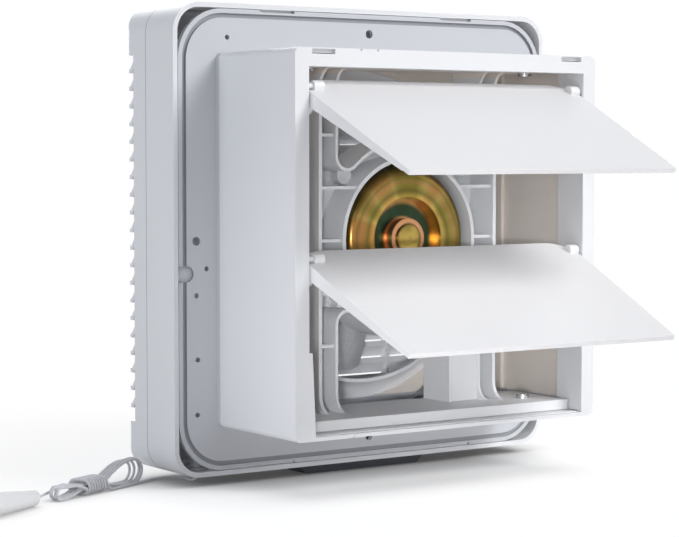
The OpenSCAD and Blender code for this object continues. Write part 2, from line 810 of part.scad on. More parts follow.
// Blade section at radius fraction k: chord, pitch and sweep change from hub to tip
function blade_radius(k) = hub_r - 1 + k * (blade_r - hub_r + 1);
function blade_chord(k) = 25 + 27 * k;
function blade_pitch(k) = 40 - 18 * k;
function blade_sweep(k) = 14 * k * k;
function blade_camber(k, c) = (0.10 - 0.03 * k) * blade_chord(k) * (1 - pow(2 * c - 1, 2));
function blade_half_t(c) = blade_t / 2 * (0.35 + 0.65 * sqrt(max(0, 1 - pow(2 * c - 1, 2))));

// Point on the blade: k along the radius, c along the chord, side +1 or -1
function blade_point(k, c, side) = let (
    r = blade_radius(k),
    along = (c - 0.5) * blade_chord(k),
    lift = blade_camber(k, c) + side * blade_half_t(c),
    p = blade_pitch(k),
    arc = along * cos(p) - lift * sin(p),
    y = along * sin(p) + lift * cos(p),
    a = blade_sweep(k) + arc / r * 180 / PI
) [r * cos(a), (hub_front + hub_rear) / 2 + y, r * sin(a)];

module blade() {
    n = chord_points;
    ring = 2 * n;
    pts = [for (i = [0 : blade_stations - 1]) let (k = i / (blade_stations - 1)) each concat(
        [for (j = [0 : n - 1]) blade_point(k, j / (n - 1), 1)],
        [for (j = [n - 1 : -1 : 0]) blade_point(k, j / (n - 1), -1)])];
    sides = [for (i = [0 : blade_stations - 2], j = [0 : ring - 1]) let (
        a = i * ring + j, b = i * ring + (j + 1) % ring) each [[a, b + ring, b], [a, a + ring, b + ring]]];
    last = (blade_stations - 1) * ring;
    caps = [for (j = [0 : n - 2]) each [
        [j, j + 1, ring - 1 - j], [j + 1, ring - 2 - j, ring - 1 - j],
        [last + j, last + ring - 1 - j, last + j + 1],
        [last + j + 1, last + ring - 1 - j, last + ring - 2 - j]]];
    polyhedron(points = pts, faces = concat(sides, caps), convexity = 6);
}

module impeller() color("gainsboro") difference() {
    union() {
        revolve_y() {
            difference() {
                union() {
                    translate([0, hub_front + 4]) square([hub_r, hub_rear - hub_front - 4]);
                    translate([0, hub_front]) square([hub_r - 4, 5]);
                    translate([hub_r - 4, hub_front + 4]) circle(4, $fn = 48);
                }
                translate([0, hub_front + hub_wall]) square([hub_r - hub_wall, 60]);
            }
            translate([0, hub_front]) square([hub_boss_r, hub_rear - hub_front - 2]);
        }
        for (i = [0 : blade_count - 1]) rotate([0, blade_turn + i * 360 / blade_count, 0]) blade();
    }
    rod_y(0, 0, shaft_r + 0.02, hub_front - 1, hub_rear + 1, $fn = 64);
}

module impeller_nut() color("white") difference() {
    revolve_y() {
        translate([0, hub_front - 3]) square([9, 3]);
        intersection() {
            translate([0, hub_front - 3 + 6]) circle(11, $fn = 64);
            translate([0, hub_front - 12]) square([9, 9 + eps]);
        }
    }
    rod_y(0, 0, shaft_r + 0.02, hub_front - 6, hub_front + 1, $fn = 64);
    for (a = [0 : 45 : 315])
        rod_y(9.6 * cos(a), 9.6 * sin(a), 1.6, hub_front - 20, hub_front + 1, $fn = 24);
}

// ---------- electrical parts behind the back plate ----------

inside_y = -plate_t;
part_gap = 0.01;
cap_w = 34;
cap_t = 11;
cap_d = 15;
cap_x = -bay_mid + 16;
cap_tab = 5;

module run_capacitor() color("dimgray") {
    x0 = cap_x - cap_w / 2;
    x1 = cap_x + cap_w / 2;
    block([x0, inside_y - cap_d, -bay_mid - cap_t / 2], [x1, inside_y - part_gap, -bay_mid + cap_t / 2]);
    block([x0 - cap_tab, inside_y - 3, -bay_mid - cap_tab / 2],
        [x1 + cap_tab, inside_y - part_gap, -bay_mid + cap_tab / 2]);
    for (x = [cap_x - 6, cap_x + 6])
        block([x - 0.4, inside_y - cap_d - 6, -bay_mid - 2], [x + 0.4, inside_y - cap_d + 1, -bay_mid + 2]);
}

terminal_w = 12;
terminal_h = 28;
terminal_d = 12;
terminal_z = -44;
terminal_pitch = 8;
terminal_screw_r = 1.9;
terminal_wire_r = 1.8;

module terminal_block() color("ivory") difference() {
    block([bay_mid - terminal_w / 2, inside_y - terminal_d, terminal_z - terminal_h / 2],
        [bay_mid + terminal_w / 2, inside_y - part_gap, terminal_z + terminal_h / 2]);
    for (i = [-1, 0, 1]) {
        z = terminal_z + i * terminal_pitch;
        rod_y(bay_mid, z, terminal_screw_r, inside_y - terminal_d - 1, inside_y - terminal_d / 2, $fn = 32);
        rod_x(bay_mid - terminal_w, bay_mid + terminal_w, inside_y - 8, z, terminal_wire_r, $fn = 32);
    }
}

// Tube of n sides swept along a list of points
function unit(v) = v / norm(v);
function tangent(p, i) = unit(p[min(i + 1, len(p) - 1)] - p[max(i - 1, 0)]);
function turned(v, t) = unit(v - (v * t) * t);
function frames(p, start) = [for (i = 0, v = turned(start, tangent(p, 0)); i < len(p);
    i = i + 1, v = i < len(p) ? turned(v, tangent(p, i)) : v) v];

module tube(p, r, sides, start) {
    f = frames(p, start);
    n = len(p);
    pts = [for (i = [0 : n - 1]) let (t = tangent(p, i), b = cross(t, f[i])) for (j = [0 : sides - 1])
        p[i] + r * (cos(360 * j / sides) * f[i] + sin(360 * j / sides) * b)];
    walls = [for (i = [0 : n - 2], j = [0 : sides - 1]) let (
        a = i * sides + j, b = i * sides + (j + 1) % sides) each
        [[a, b + sides, b], [a, a + sides, b + sides]]];
    ends = [for (j = [1 : sides - 2]) each [[0, j, j + 1],
        [(n - 1) * sides, (n - 1) * sides + j + 1, (n - 1) * sides + j]]];
    polyhedron(points = pts, faces = concat(walls, ends), convexity = 10);
}

lead_d = 4.6;
lead_hole = [-37.5, -7.2];
lead_hole_r = 3.9;
// Motor lead: from the motor's rim down in front of the bracket web, out through the floor of
// the ring's box and across to the capacitor
lead_points = [[-22.33, 9, -30.15], [-25.3, 9, -34.16], [-28.3, 9, -40], [-31, 9, -47], [-33.5, 9, -56],
    [-35.2, 9, -65], [-36, 8.4, -73], [-36.2, 6.6, -79], [-36.6, 3.2, -83.4], [-37, -1.6, -86.4],
    [-37.3, -5.6, -88.8], [-37.5, -8, -92], [-38.3, -9.6, -96], [-41, -11.2, -100.4],
    [-46.5, -12.2, -103.6], [-54, -12.5, -104.9], [-62, -12.5, -105], [cap_x + cap_w / 2 + 0.02, -12.5, -105]];

module motor_lead() color("gray") tube(lead_points, lead_d / 2, 8, [1, 0, 0]);

// ---------- pull switch ----------

switch_z0 = -half + 24;
switch_z1 = switch_z0 + 28;
switch_x0 = duct_in + 1;
switch_x1 = eyelet_x + 5;
bar_w = 5;
bar_t = 2.4;
pull_travel = 7;

module pull_switch() color("lightgray") difference() {
    block([switch_x0, inside_y - 16, switch_z0], [switch_x1, inside_y - part_gap, switch_z1]);
    block([eyelet_x - bar_w / 2 - slide_gap, eyelet_y - bar_t / 2 - slide_gap, switch_z0 - 1],
        [eyelet_x + bar_w / 2 + slide_gap, eyelet_y + bar_t / 2 + slide_gap, switch_z1 - 6]);
}

eyelet_top = -half + housing_wall + 5;
eyelet_bottom = -half + 1.7;
eyelet_bore = cord_d / 2 + 0.4;
bar_z0 = eyelet_top + pull_travel + 1;

module pull_bar() color("white") difference() {
    union() {
        block([eyelet_x - bar_w / 2, eyelet_y - bar_t / 2, bar_z0 + bar_w / 2],
            [eyelet_x + bar_w / 2, eyelet_y + bar_t / 2, switch_z1 - 8]);
        translate([eyelet_x, eyelet_y + bar_t / 2, bar_z0 + bar_w / 2]) rotate([90, 0, 0])
            cylinder(r = bar_w / 2, h = bar_t, $fn = 48);
    }
    rod_y(eyelet_x, bar_z0 + bar_w / 2, cord_d / 2 + 0.2, eyelet_y - 4, eyelet_y + 4, $fn = 32);
}

module cord_eyelet() color("lightgray") translate([eyelet_x, eyelet_y, 0]) difference() {
    union() {
        translate([0, 0, eyelet_bottom]) cylinder(r = eyelet_hole_r - 0.2, h = eyelet_top - eyelet_bottom - 1);
        translate([0, 0, -half + housing_wall]) cylinder(r = eyelet_hole_r + 1.8, h = 1.4);
        translate([0, 0, eyelet_top - 1]) cylinder(r = eyelet_hole_r - 1.2, h = 1);
    }
    translate([0, 0, eyelet_bottom - 1]) cylinder(r = eyelet_bore, h = eyelet_top - eyelet_bottom + 2, $fn = 32);
}

// ---------- oil cup ----------

cup_wall = 1.6;
cup_top = -half + 9;
floor_z = -half - cup_drop;

module oil_cup() color("lightslategray") {
    w = cup_width / 2;
    foot = w - 6;
    knee = floor_z + cup_drop;
    difference() {
        slab(cup_y0, cup_y1) polygon([[-w, cup_top], [-w, knee], [-foot, floor_z], [foot, floor_z],
            [w, knee], [w, cup_top]]);
        slab(cup_y0 + cup_wall, cup_y1 - cup_wall) polygon([
            [-w + cup_wall, cup_top + 1], [-w + cup_wall, knee + 0.6], [-foot + 0.6, floor_z + cup_wall],
            [foot - 0.6, floor_z + cup_wall], [w - cup_wall, knee + 0.6], [w - cup_wall, cup_top + 1]]);
    }
}

// ---------- pull cord ----------

cord_r = cord_d / 2;

// Route of the free run, from the eyelet to the hank
run_points = [[100, -12, -118.3], [100, -12, -119.8], [100, -12.4, -121.2], [99.9, -13.6, -122.4],
    [99.7, -15.8, -123.4], [99.4, -19, -124], [98.8, -23, -124.2], [98.3, -27, -124.2],
    [99.3, -30.6, -124.2], [102.4, -33, -124.2], [107, -33.8, -124.2], [112.5, -33.2, -124.2],
    [118, -31, -124.2], [124, -28, -124.2], [130, -25.1, -124.2], [136, -22.1, -124.2],
    [141, -19.7, -124.2], [144.6, -17.9, -124.2]];

// The hank lies along one line on the floor: its middle, its direction and its depth direction
hank_mid = [156, -19, -120.8];
hank_dir = unit([68, 32, 0]);
hank_side = cross([0, 0, 1], hank_dir);
hank_loops = 4;
hank_wraps = 8;
loop_step = cord_d + 0.5;
loop_rings = 24;
// One loop seen from the side, as [along the hank, height], from the waist round both ends
loop_outline = [[15, 1.1], [21, 1.9], [31.2, 2.4], [33, 1.9], [34.2, 0.6], [34.5, -1], [33.6, -2.5],
    [31.8, -3.3], [26, -3.4], [20, -2.4], [14, -1.1], [-6, -1.1], [-12, -2], [-20, -3.1],
    [-29, -3.4], [-34.6, -3], [-38, -0.6], [-39.2, 2.8], [-38, 6.2], [-34.5, 8.6], [-28, 9],
    [-21, 7.5], [-13, 4], [-6, 1.1]];
// How far each loop reaches, so that the strands fan out at both ends
loop_reach = [1, 0.95, 0.985, 0.92, 0.9];
wrap_s0 = -4;
wrap_s1 = 12.6;
wrap_r = 3.4;
wrap_flat = 2.6;
wrap_rings = hank_wraps * loop_rings - 2;
wrap_shift = -0.4;

function hank_at(s, d, h) = hank_mid + s * hank_dir + d * hank_side + [0, 0, h];

function mix(a, b, t) = a * (1 - t) + b * t;

function loop_point(i) = let (
    k = i / loop_rings,
    turn = floor(k),
    reach = mix(loop_reach[turn], loop_reach[min(turn + 1, hank_loops)], k - turn),
    at = loop_outline[i % loop_rings],
    h = at[1] > 1 ? 1 + (at[1] - 1) * reach * reach : at[1]
) hank_at(at[0] * reach, (hank_loops / 2 - k) * loop_step, h);

function wrap_point(a) = hank_at(mix(wrap_s0, wrap_s1, a / (360 * hank_wraps)),
    wrap_shift + wrap_r * cos(a) + wrap_flat * sign(cos(a)), wrap_r * sin(a));

// Smooth joint between two stretches, from its end points and end directions
function joint(a, ta, b, tb, n) = [for (i = [1 : n - 1]) let (t = i / n, t2 = t * t, t3 = t2 * t)
    (2 * t3 - 3 * t2 + 1) * a + (t3 - 2 * t2 + t) * ta + (3 * t2 - 2 * t3) * b + (t3 - t2) * tb];

run_end = run_points[len(run_points) - 1];
run_dir = unit(run_end - run_points[len(run_points) - 2]);
wrap_list = [for (i = [0 : wrap_rings]) wrap_point(i * 360 / loop_rings)];
loop_list = [for (i = [1 : hank_loops * loop_rings + 1]) loop_point(i)];
wrap_end = wrap_list[wrap_rings];
wrap_dir = unit(wrap_end - wrap_list[wrap_rings - 1]);
hank_points = concat([run_end, run_end + cord_d * run_dir],
    joint(run_end + cord_d * run_dir, 5 * run_dir, wrap_list[0], [0, 0, 6], 4), wrap_list,
    joint(wrap_end, 7 * wrap_dir, loop_list[0], 9 * unit(loop_list[1] - loop_list[0]), 5), loop_list);
hank_end = hank_points[len(hank_points) - 1];
tail_dir = unit(hank_end - hank_points[len(hank_points) - 2]);

module cord_run() color("white") tube(run_points, cord_r, 8, [1, 0, 0]);

// Least gap between turns that are not next to each other, measured on the points
hank_skip = 6;
function hank_gap() = min([for (i = [0 : len(hank_points) - 1 - hank_skip])
    min([for (j = [i + hank_skip : len(hank_points) - 1]) norm(hank_points[j] - hank_points[i])])]) - cord_d;

module cord_hank() color("white") {
    echo(hank_least_gap = hank_gap());
    tube(hank_points, cord_r, 6, hank_side);
}

// Narrow end of the pull knob and the direction of its axis
knob_start = [199, 1.5, -120.9];
knob_dir = unit([0.86, 0.5, (knob_r - knob_neck_r) / knob_length]);
tail_points = concat([hank_end, hank_end + cord_d * tail_dir],
    [for (q = [[24, -4.4, 1.3], [29, -4.5, -0.2], [35, -4, -1], [41, -2.2, -0.9]]) hank_at(q[0], q[1], q[2])],
    [knob_start - cord_d * knob_dir, knob_start]);

module cord_tail() color("white") tube(tail_points, cord_r, 8, hank_side);

module pull_knob() color("whitesmoke") {
    azimuth = atan2(knob_dir[1], knob_dir[0]);
    tilt = acos(knob_dir[2]);
    translate(knob_start) rotate([0, 0, azimuth]) rotate([0, tilt, 0]) rotate_extrude() difference() {
        polygon([[0, 0], [knob_neck_r - 0.8, 0], [knob_neck_r, 0.8], [knob_neck_r + 0.9, 14],
            [knob_r - 0.5, knob_length - 6], [knob_r, knob_length - 1], [knob_r - 1, knob_length],
            [0, knob_length]]);
        polygon([[0, 12], [knob_neck_r - 1, 14], [knob_r - 2, knob_length - 5],
            [knob_r - 1.8, knob_length + 1], [0, knob_length + 1]]);
    }
}

front_cover();
housing_shell();
rear_body();
air_ring();
outlet_frame();
upper_flap();
lower_flap();
link_bar();
motor_bracket();
motor_rear_shell();
motor_front_shell();
stator_core();
stator_windings();
rotor();
motor_shaft();
shaft_bearings();
impeller();
impeller_nut();
lead_cover();
motor_lead();
run_capacitor();
terminal_block();
pull_switch();
pull_bar();
cord_eyelet();
oil_cup();
motor_screws();
bracket_screws();
ring_screws();
cord_run();
cord_hank();
cord_tail();
pull_knob();
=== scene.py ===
# A square window exhaust fan seen from outdoors: white moulded housing, square duct, two open
# flaps, a gold-passivated motor on a ribbed bracket, and a pull cord wound into a hank.
# +Z is up, +Y points outdoors, and the origin is on the fan axis in the back plate's rear face.
# The object's sizes are in millimetres. The camera, floor, lamps and node values are in metres.
import math

import bmesh
import bpy
from mathutils import Matrix, Vector


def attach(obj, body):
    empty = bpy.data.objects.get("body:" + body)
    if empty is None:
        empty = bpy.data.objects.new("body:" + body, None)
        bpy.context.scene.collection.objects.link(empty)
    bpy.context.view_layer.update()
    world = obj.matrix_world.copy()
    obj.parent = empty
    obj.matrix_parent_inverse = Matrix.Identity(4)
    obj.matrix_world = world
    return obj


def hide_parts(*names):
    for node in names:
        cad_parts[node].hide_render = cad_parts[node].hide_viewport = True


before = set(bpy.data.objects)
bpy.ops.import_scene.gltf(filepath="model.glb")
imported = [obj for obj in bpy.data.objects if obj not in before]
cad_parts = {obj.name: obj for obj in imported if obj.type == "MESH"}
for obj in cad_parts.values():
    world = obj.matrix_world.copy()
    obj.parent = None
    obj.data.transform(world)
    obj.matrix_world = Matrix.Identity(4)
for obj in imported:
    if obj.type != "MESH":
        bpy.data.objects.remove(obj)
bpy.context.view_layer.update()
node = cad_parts
scene = bpy.context.scene
MM = 0.001
UP = Vector((0, 0, 1))

# ---------------------------------------------------------------------------------------------
# Camera: a long lens a little above the floor, off to the left of the outlet.
# ---------------------------------------------------------------------------------------------
CAMERA_PLACE = Vector((0.6430, 0.8965, 0.0460))
CAMERA_AZIMUTH = math.radians(145.17)
CAMERA_ELEVATION = math.radians(3.28)
FOCAL_LENGTH_MM = 109.9
SENSOR_WIDTH_MM = 36
FARTHEST_SEEN = 20

camera = bpy.data.objects.new("camera", bpy.data.cameras.new("camera"))
scene.collection.objects.link(camera)
camera.data.sensor_width = SENSOR_WIDTH_MM
camera.data.lens = FOCAL_LENGTH_MM
camera.data.clip_end = FARTHEST_SEEN
back = Vector((
    math.sin(CAMERA_AZIMUTH) * math.cos(CAMERA_ELEVATION),
    -math.cos(CAMERA_AZIMUTH) * math.cos(CAMERA_ELEVATION),
    math.sin(CAMERA_ELEVATION)))
right = UP.cross(back).normalized()
camera.matrix_world = Matrix.Translation(CAMERA_PLACE) @ Matrix((
    right, back.cross(right), back)).transposed().to_4x4()
scene.camera = camera

# ---------------------------------------------------------------------------------------------
# Pull cord: one length of thin twisted white cord. It leaves the eyelet, lies along the floor,
# wraps round the waist of its own hank, runs round the hank's loops and ends in the knob.
# ---------------------------------------------------------------------------------------------
CORD_DIAMETER = 1.5
CORD_RUN = [
    (100, -12, -118.3), (100, -12, -119.8), (100, -12.4, -121.2), (99.9, -13.6, -122.4),
    (99.7, -15.8, -123.4), (99.4, -19, -124), (98.8, -23, -124.2), (98.3, -27, -124.2),
    (99.3, -30.6, -124.2), (102.4, -33, -124.2), (107, -33.8, -124.2), (112.5, -33.2, -124.2),
    (118, -31, -124.2), (124, -28, -124.2), (130, -25.1, -124.2), (136, -22.1, -124.2),
    (141, -19.7, -124.2), (144.6, -17.9, -124.2)]
HANK_MIDDLE = Vector((156, -19, -120.8))
HANK_ALONG = Vector((68, 32, 0)).normalized()
HANK_SIDE = UP.cross(HANK_ALONG)
HANK_LOOPS = 4
HANK_WRAPS = 8
LOOP_GAP = 0.5
LOOP_STEP = CORD_DIAMETER + LOOP_GAP
# One loop's points, along and above the hank's middle
LOOP_OUTLINE = [
    (15, 1.1), (21, 1.9), (31.2, 2.4), (33, 1.9), (34.2, 0.6), (34.5, -1), (33.6, -2.5),
    (31.8, -3.3), (26, -3.4), (20, -2.4), (14, -1.1), (-6, -1.1), (-12, -2), (-20, -3.1),
    (-29, -3.4), (-34.6, -3), (-38, -0.6), (-39.2, 2.8), (-38, 6.2), (-34.5, 8.6), (-28, 9),
    (-21, 7.5), (-13, 4), (-6, 1.1)]
TURN_POINTS = len(LOOP_OUTLINE)
# How long each loop is, as a share of the outline
LOOP_REACH = [1, 0.95, 0.985, 0.92, 0.9]
# Height of the loops' waist. A shorter loop rises less above it
LOOP_WAIST = 1
WRAP_SPAN = (-4, 12.6)
WRAP_RADIUS = 3.4
WRAP_FLAT = 2.6
WRAP_SHIFT = -0.4
WRAP_POINTS = HANK_WRAPS * TURN_POINTS - 2
NEAR_ZERO = 1e-6
# How hard the joints from the run to the wraps, and from there to the loops, hold their way
RUN_LEAVES = 5
WRAPS_RISE = 6
WRAPS_LEAVE = 7
LOOPS_ARRIVE = 9
STEPS_TO_WRAPS = 4
STEPS_TO_LOOPS = 5
# The knob's narrow end and the way of its axis. It is a cone that lies on the floor
KNOB_LENGTH = 40
KNOB_RADIUS = 6.6
KNOB_NECK_RADIUS = 4
KNOB_START = Vector((199, 1.5, -120.9))
KNOB_AXIS = Vector((0.86, 0.5, (KNOB_RADIUS - KNOB_NECK_RADIUS) / KNOB_LENGTH)).normalized()
TAIL_MIDDLE = [(24, -4.4, 1.3), (29, -4.5, -0.2), (35, -4, -1), (41, -2.2, -0.9)]
STRANDS = 3
STRAND_PITCH = 4.5
STRAND_RELIEF = 0.16
CORD_SIDES = 12
CORD_SPACING = 0.7
CORD_COLOUR = (0.80, 0.80, 0.83)
# Painted shade: the share of the colour left in the valleys between the strands
CORD_VALLEY_PAINTED_SHADE = 0.62
# Height on a strand at which the painted shade between strands is darkest, and from which the
# cord has its full colour
CROWN_DARK = 0.05
CROWN_FULL = 0.6
CORD_ROUGHNESS = 0.75
CORD_SHEEN = 0.2
FILAMENT_SCALE = 6000
FILAMENT_BUMP = 0.4
BUMP_DISTANCE = 0.0002


def hank_at(along, side, height):
    """Point of the hank, from its place along, across and above the hank's middle."""
    return HANK_MIDDLE + along * HANK_ALONG + side * HANK_SIDE + height * UP


def loop_point(i):
    """Point number i of the hank's loops, which climb sideways at a steady rate."""
    k = i / TURN_POINTS
    turn = int(k)
    after = LOOP_REACH[min(turn + 1, HANK_LOOPS)]
    reach = LOOP_REACH[turn] * (1 - (k - turn)) + after * (k - turn)
    along, height = LOOP_OUTLINE[i % TURN_POINTS]
    if height > LOOP_WAIST:
        height = LOOP_WAIST + (height - LOOP_WAIST) * reach * reach
    return hank_at(along * reach, (HANK_LOOPS / 2 - k) * LOOP_STEP, height)


def wrap_point(i):
    """Point number i of the turns round the hank's waist."""
    angle = 2 * math.pi * i / TURN_POINTS
    share = i / TURN_POINTS / HANK_WRAPS
    cosine = math.cos(angle)
    flat = 0 if abs(cosine) < NEAR_ZERO else math.copysign(WRAP_FLAT, cosine)
    return hank_at(
        WRAP_SPAN[0] * (1 - share) + WRAP_SPAN[1] * share,
        WRAP_SHIFT + WRAP_RADIUS * cosine + flat,
        WRAP_RADIUS * math.sin(angle))


def cord_joint(a, leave, b, arrive, count):
    """Points of a smooth joint between two stretches, without its two ends."""
    points = []
    for i in range(1, count):
        t = i / count
        points.append(
            (2 * t ** 3 - 3 * t ** 2 + 1) * a + (t ** 3 - 2 * t ** 2 + t) * leave
            + (3 * t ** 2 - 2 * t ** 3) * b + (t ** 3 - t ** 2) * arrive)
    return points


def cord_route():
    """The whole cord's points in order."""
    run = [Vector(p) for p in CORD_RUN]
    run_way = (run[-1] - run[-2]).normalized()
    start = run[-1] + CORD_DIAMETER * run_way
    wraps = [wrap_point(i) for i in range(WRAP_POINTS + 1)]
    wrap_way = (wraps[-1] - wraps[-2]).normalized()
    loops = [loop_point(i) for i in range(1, HANK_LOOPS * TURN_POINTS + 2)]
    loop_way = (loops[1] - loops[0]).normalized()
    tail_way = (loops[-1] - loops[-2]).normalized()
    to_wraps = cord_joint(start, RUN_LEAVES * run_way, wraps[0], WRAPS_RISE * UP, STEPS_TO_WRAPS)
    to_loops = cord_joint(
        wraps[-1], WRAPS_LEAVE * wrap_way, loops[0], LOOPS_ARRIVE * loop_way, STEPS_TO_LOOPS)
    return (
        run + [start] + to_wraps + wraps + to_loops + loops
        + [loops[-1] + CORD_DIAMETER * tail_way] + [hank_at(*p) for p in TAIL_MIDDLE]
        + [KNOB_START - CORD_DIAMETER * KNOB_AXIS, KNOB_START])


def smooth_route(points, spacing):
    """Smooth curve through the points, cut into steps of about the given spacing."""
    out = []
    for i in range(len(points) - 1):
        p0 = points[max(i - 1, 0)]
        p1 = points[i]
        p2 = points[i + 1]
        p3 = points[min(i + 2, len(points) - 1)]
        count = max(1, round((p2 - p1).length / spacing))
        for j in range(count):
            t = j / count
            out.append(0.5 * (
                2 * p1 + (p2 - p0) * t + (2 * p0 - 5 * p1 + 4 * p2 - p3) * t ** 2
                + (3 * p1 - p0 - 3 * p2 + p3) * t ** 3))
    out.append(points[-1])
    return out


def new_piece(name, mesh):
    """Object of that name at the origin, linked to the scene."""
    piece = bpy.data.objects.new(name, mesh)
    scene.collection.objects.link(piece)
    return piece


def twisted_cord(name, route):
    """Tube along the route whose section is a ring of strands that turns as it goes."""
    verts = []
    faces = []
    crowns = []
    side = Vector((1, 0, 0))
    gone = 0.0
    for i, p in enumerate(route):
        ahead = (route[min(i + 1, len(route) - 1)] - route[max(i - 1, 0)]).normalized()
        side = (side - side.dot(ahead) * ahead).normalized()
        across = ahead.cross(side)
        if i:
            gone += (p - route[i - 1]).length
        turn = 2 * math.pi * gone / STRAND_PITCH
        for j in range(CORD_SIDES):
            angle = 2 * math.pi * j / CORD_SIDES
            crown = abs(math.cos(STRANDS / 2 * (angle - turn)))
            radius = CORD_DIAMETER / 2 * (1 - STRAND_RELIEF + STRAND_RELIEF * crown)
            verts.append(p + radius * (math.cos(angle) * side + math.sin(angle) * across))
            crowns.append(crown)
    rings = len(route)
    for i in range(rings - 1):
        for j in range(CORD_SIDES):
            a = i * CORD_SIDES + j
            b = i * CORD_SIDES + (j + 1) % CORD_SIDES
            faces.append((a, b, b + CORD_SIDES, a + CORD_SIDES))
    faces.append(tuple(reversed(range(CORD_SIDES))))
    faces.append(tuple(range((rings - 1) * CORD_SIDES, rings * CORD_SIDES)))
    mesh = bpy.data.meshes.new(name)
    mesh.from_pydata([tuple(MM * c for c in p) for p in verts], [], faces)
    mesh.attributes.new("crown", "FLOAT", "POINT").data.foreach_set("value", crowns)
    mesh.shade_smooth()
    return new_piece(name, mesh)


def dress(piece, material):
    """Gives the piece that one material."""
    piece.data.materials.clear()
    piece.data.materials.append(material)


def new_material(name):
    """Material, with its node tree and its Principled BSDF."""
    material = bpy.data.materials.new(name)
    material.use_nodes = True
    tree = material.node_tree
    return material, tree, tree.nodes["Principled BSDF"]


def feed(tree, value, target):
    """Links an output socket to the target input, or sets that input to a plain value."""
    if isinstance(value, bpy.types.NodeSocket):
        tree.links.new(value, target)
    else:
        target.default_value = value


def object_place(tree):
    """Object coordinates, which stay with the piece."""
    return tree.nodes.new("ShaderNodeTexCoord").outputs["Object"]


def noise(tree, vector, scale, detail=2):
    """Noise over a vector, with about scale features to each metre."""
    pattern = tree.nodes.new("ShaderNodeTexNoise")
    pattern.inputs["Detail"].default_value = detail
    feed(tree, vector, pattern.inputs["Vector"])
    feed(tree, scale, pattern.inputs["Scale"])
    return pattern.outputs["Fac"]


def colour_ramp(tree, factor, stops):
    """Colour of a ramp with stops of (place, colour)."""
    ramp = tree.nodes.new("ShaderNodeValToRGB")
    elements = ramp.color_ramp.elements
    while len(elements) < len(stops):
        elements.new(0.5)
    for element, (place, colour) in zip(elements, stops):
        element.position = place
        element.color = (*colour, 1)
    tree.links.new(factor, ramp.inputs["Fac"])
    return ramp.outputs["Color"]


def add_bump(tree, shader, height, strength):
    """Bump node between a height and the shader's normal."""
    bump = tree.nodes.new("ShaderNodeBump")
    bump.inputs["Strength"].default_value = strength
    bump.inputs["Distance"].default_value = BUMP_DISTANCE
    tree.links.new(height, bump.inputs["Height"])
    tree.links.new(bump.outputs["Normal"], shader.inputs["Normal"])


def cord_material():
    """Twisted synthetic fibre with fine filaments, and painted shade that darkens it between the
    strands.
    """
    material, tree, shader = new_material("twisted_cord")
    crown = tree.nodes.new("ShaderNodeAttribute")
    crown.attribute_name = "crown"
    dark = tuple(CORD_VALLEY_PAINTED_SHADE * c for c in CORD_COLOUR)
    colour = colour_ramp(
        tree, crown.outputs["Fac"], [(CROWN_DARK, dark), (CROWN_FULL, CORD_COLOUR)])
    tree.links.new(colour, shader.inputs["Base Color"])
    add_bump(tree, shader, noise(tree, object_place(tree), FILAMENT_SCALE), FILAMENT_BUMP)
    shader.inputs["Roughness"].default_value = CORD_ROUGHNESS
    shader.inputs["Sheen Weight"].default_value = CORD_SHEEN
    return material


route = smooth_route(cord_route(), CORD_SPACING)
pull_cord = twisted_cord("pull_cord", route)
dress(pull_cord, cord_material())
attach(pull_cord, "housing")
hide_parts("cord_run", "cord_hank", "cord_tail")

# ---------------------------------------------------------------------------------------------
# Floor, backdrop and lamps: a plain pale sweep with a painted contact shadow, soft boxes, and
# two narrow spots that fill the open outlet, which the flaps would leave dark.
# ---------------------------------------------------------------------------------------------
FLOOR_LEVEL = -0.1251
FLOOR_HALF = 4
FLOOR_GLOW = 0.70
FLOOR_SHADED = (0.42, 0.42, 0.42)
FLOOR_BOUNCE = (0.82, 0.81, 0.80)
FLOOR_NEAR = 0.14
FLOOR_FAR = 0.42
PAINTED_SHADOW_REACH = 0.038
PAINTED_SHADOW_SAMPLES = 16
# Openness below which the painted contact shadow is at its darkest, and the floor's glow there
PAINTED_SHADOW_SHUT = 0.06
PAINTED_SHADOW_GLOW = 0.04
SPOT_BLEND = 0.4
SKY_LEVEL = 0.26
SKY_COLOUR = (0.90, 0.92, 1.0)


def calculate(tree, operation, *values):
    """Math node's result, from plain numbers and output sockets."""
    step = tree.nodes.new("ShaderNodeMath")
    step.operation = operation
    for value, target in zip(values, step.inputs):
        feed(tree, value, target)
    return step.outputs[0]


def vector_step(tree, operation, vector):
    """Vector Math node that works on one vector."""
    step = tree.nodes.new("ShaderNodeVectorMath")
    step.operation = operation
    tree.links.new(vector, step.inputs[0])
    return step


def between(tree, value, low, high, out_low=0, out_high=1, curve="LINEAR"):
    """Value's way from low to high, turned into the same way from out_low to out_high."""
    step = tree.nodes.new("ShaderNodeMapRange")
    step.interpolation_type = curve
    step.inputs["From Min"].default_value = low
    step.inputs["From Max"].default_value = high
    step.inputs["To Min"].default_value = out_low
    step.inputs["To Max"].default_value = out_high
    tree.links.new(value, step.inputs["Value"])
    return step.outputs["Result"]


def matt(tree, colour):
    """Plain matt shader of one colour."""
    shader = tree.nodes.new("ShaderNodeBsdfDiffuse")
    shader.inputs["Color"].default_value = (*colour, 1)
    return shader.outputs["BSDF"]


def mix_shaders(tree, share, first, second):
    """Mix of two shaders: the first one at share 0, the second one at share 1."""
    mix = tree.nodes.new("ShaderNodeMixShader")
    tree.links.new(share, mix.inputs["Fac"])
    tree.links.new(first, mix.inputs[1])
    tree.links.new(second, mix.inputs[2])
    return mix.outputs["Shader"]


def background_rays(tree):
    """1 for camera, glossy and transmission rays, which all see the white background."""
    path = tree.nodes.new("ShaderNodeLightPath")
    seen = path.outputs["Is Camera Ray"]
    for name in ("Is Glossy Ray", "Is Transmission Ray"):
        seen = calculate(tree, "MAXIMUM", seen, path.outputs[name])
    return seen


